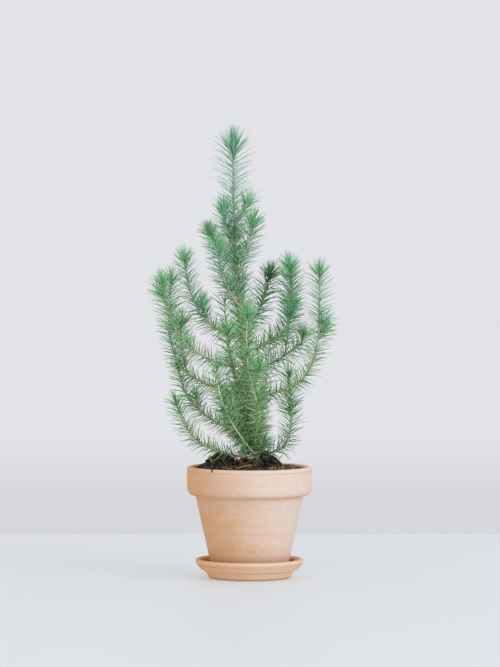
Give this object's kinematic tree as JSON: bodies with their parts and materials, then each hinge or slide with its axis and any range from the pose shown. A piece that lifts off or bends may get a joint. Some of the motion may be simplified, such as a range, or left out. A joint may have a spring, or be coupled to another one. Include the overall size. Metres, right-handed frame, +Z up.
{
  "type": "young italian stone pine in a terracotta pot",
  "caption": "Young stone pine with upswept needled shoots round a slender leader, growing in soil in a plain terracotta pot that stands in its saucer.",
  "frame": {"origin": "centre of the saucer's flat foot, on the surface that it stands on", "axes": "+Z up along the trunk, +X to the plant's right and +Y to its back, seen from the front"},
  "size_m": [0.2657, 0.2193, 0.615],
  "materials": {
    "pot": "matt unglazed terracotta",
    "saucer": "matt unglazed terracotta",
    "soil": "loose damp potting mix",
    "bark": "rough bark",
    "twig": "smooth young bark",
    "needles": "satin with a pale bloom"
  },
  "bodies": {
    "root": {"saucer": "saucer", "pot": "pot", "soil": "soil", "trunk": "bark", "bough_left_high": "twig", "bough_left_outer": "twig", "bough_left_middle": "twig", "bough_left_low": "twig", "bough_left_rear": "twig", "bough_right_outer": "twig", "bough_right_rear": "twig", "bough_right_inner": "twig", "bough_right_high": "twig", "bough_right_low": "twig", "bough_front_left": "twig", "bough_front_centre": "twig", "bough_front_right": "twig", "bough_front_high": "twig", "bough_front_low": "twig", "bough_back_high": "twig", "bough_back_left": "twig", "bough_back_right": "twig", "bough_back_low": "twig", "bough_back_foot": "twig", "needles_left_high": "needles", "needles_left_outer": "needles", "needles_left_middle": "needles", "needles_left_low": "needles", "needles_left_rear": "needles", "needles_right_outer": "needles", "needles_right_rear": "needles", "needles_right_inner": "needles", "needles_right_high": "needles", "needles_right_low": "needles", "needles_front_left": "needles", "needles_front_centre": "needles", "needles_front_right": "needles", "needles_front_high": "needles", "needles_front_low": "needles", "needles_back_high": "needles", "needles_back_left": "needles", "needles_back_right": "needles", "needles_back_low": "needles", "needles_back_foot": "needles", "needles_crown_back": "needles", "needles_crown_left": "needles", "needles_crown_right": "needles", "needles_top_left": "needles", "needles_top_front": "needles", "needles_top_back": "needles", "needles_trunk_low": "needles", "needles_trunk_middle": "needles", "needles_trunk_high": "needles", "needles_leader": "needles"}
  },
  "joints": []
}
